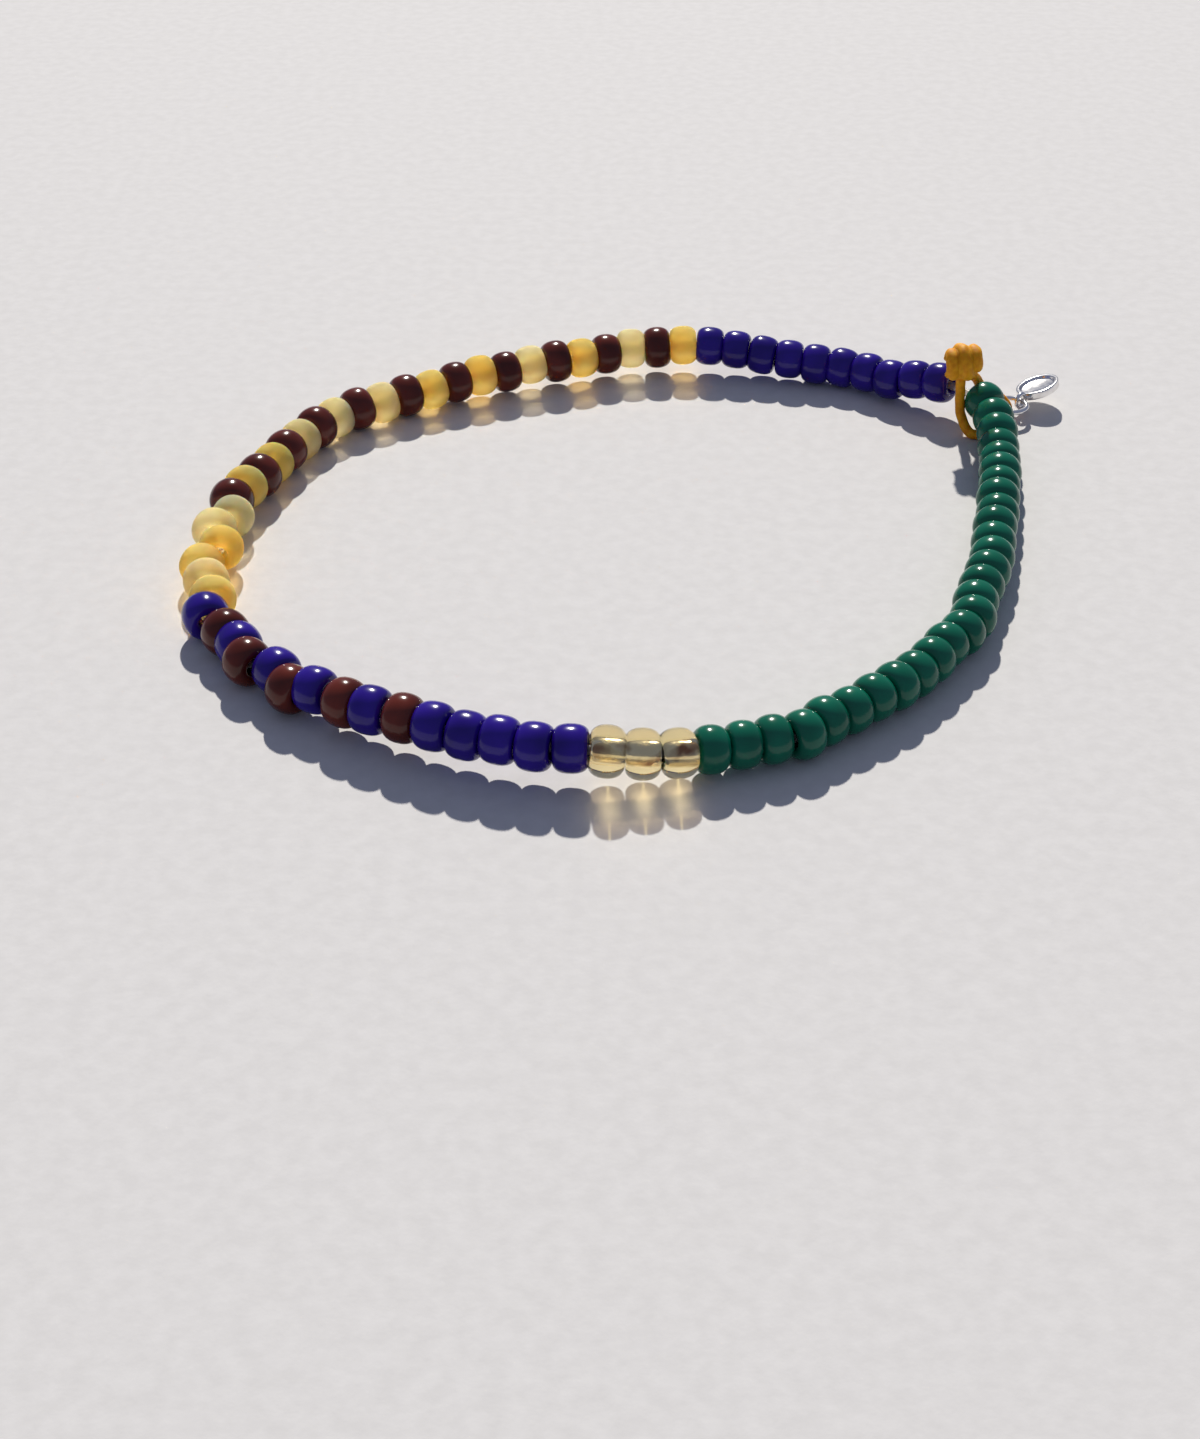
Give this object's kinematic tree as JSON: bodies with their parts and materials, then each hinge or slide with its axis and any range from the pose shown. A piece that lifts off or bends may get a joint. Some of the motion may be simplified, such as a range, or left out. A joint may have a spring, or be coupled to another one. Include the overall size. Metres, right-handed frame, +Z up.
{
  "type": "glass bead bracelet",
  "caption": "Elastic bracelet of small coloured glass beads, closed by a knotted cord loop that holds a small oval silver tag on a jump ring.",
  "frame": {"origin": "on the surface under the middle of the whole bracelet's outer box, tag included", "axes": "+Z up from the surface the bracelet lies on; -Y towards the side with the clear gold beads, +X towards the green side, with the knot at +X +Y"},
  "size_m": [0.063, 0.057, 0.0074],
  "materials": {
    "blue_glass": "gloss",
    "green_glass": "gloss",
    "brown_glass": "gloss",
    "straw_frosted_glass": "frosted",
    "amber_frosted_glass": "frosted",
    "gold_lined_glass": "clear, with a lined hole",
    "elastic": "matte",
    "mustard_cord": "waxed cord",
    "silver": "polished silver"
  },
  "bodies": {
    "root": {"bead_11_amber": "amber_frosted_glass", "bead_12_brown": "brown_glass", "bead_13_straw": "straw_frosted_glass", "bead_14_brown": "brown_glass", "bead_15_amber": "amber_frosted_glass", "bead_16_brown": "brown_glass", "bead_17_straw": "straw_frosted_glass", "bead_18_brown": "brown_glass", "bead_19_amber": "amber_frosted_glass", "bead_20_brown": "brown_glass", "bead_21_amber": "amber_frosted_glass", "bead_22_brown": "brown_glass", "bead_23_straw": "straw_frosted_glass", "bead_24_brown": "brown_glass", "bead_25_straw": "straw_frosted_glass", "bead_26_brown": "brown_glass", "bead_27_straw": "straw_frosted_glass", "bead_28_brown": "brown_glass", "bead_29_amber": "amber_frosted_glass", "bead_30_brown": "brown_glass", "bead_31_amber": "amber_frosted_glass", "bead_32_brown": "brown_glass", "bead_39_blue": "blue_glass", "bead_40_brown": "brown_glass", "bead_41_blue": "blue_glass", "bead_42_brown": "brown_glass", "bead_43_blue": "blue_glass", "bead_44_brown": "brown_glass", "bead_45_blue": "blue_glass", "bead_46_brown": "brown_glass", "bead_47_blue": "blue_glass", "bead_48_brown": "brown_glass", "bead_49_blue": "blue_glass", "bead_50_blue": "blue_glass", "bead_51_blue": "blue_glass", "bead_52_blue": "blue_glass", "bead_53_blue": "blue_glass", "bead_54_gold": "gold_lined_glass", "bead_55_gold": "gold_lined_glass", "bead_56_gold": "gold_lined_glass", "beads_01_to_10_blue": "blue_glass", "beads_33_to_38_straw": "straw_frosted_glass", "beads_57_to_84_green": "green_glass", "cord_knot": "mustard_cord", "cord_loop": "mustard_cord", "elastic_thread": "elastic", "jump_ring": "silver", "silver_tag": "silver"}
  },
  "joints": []
}
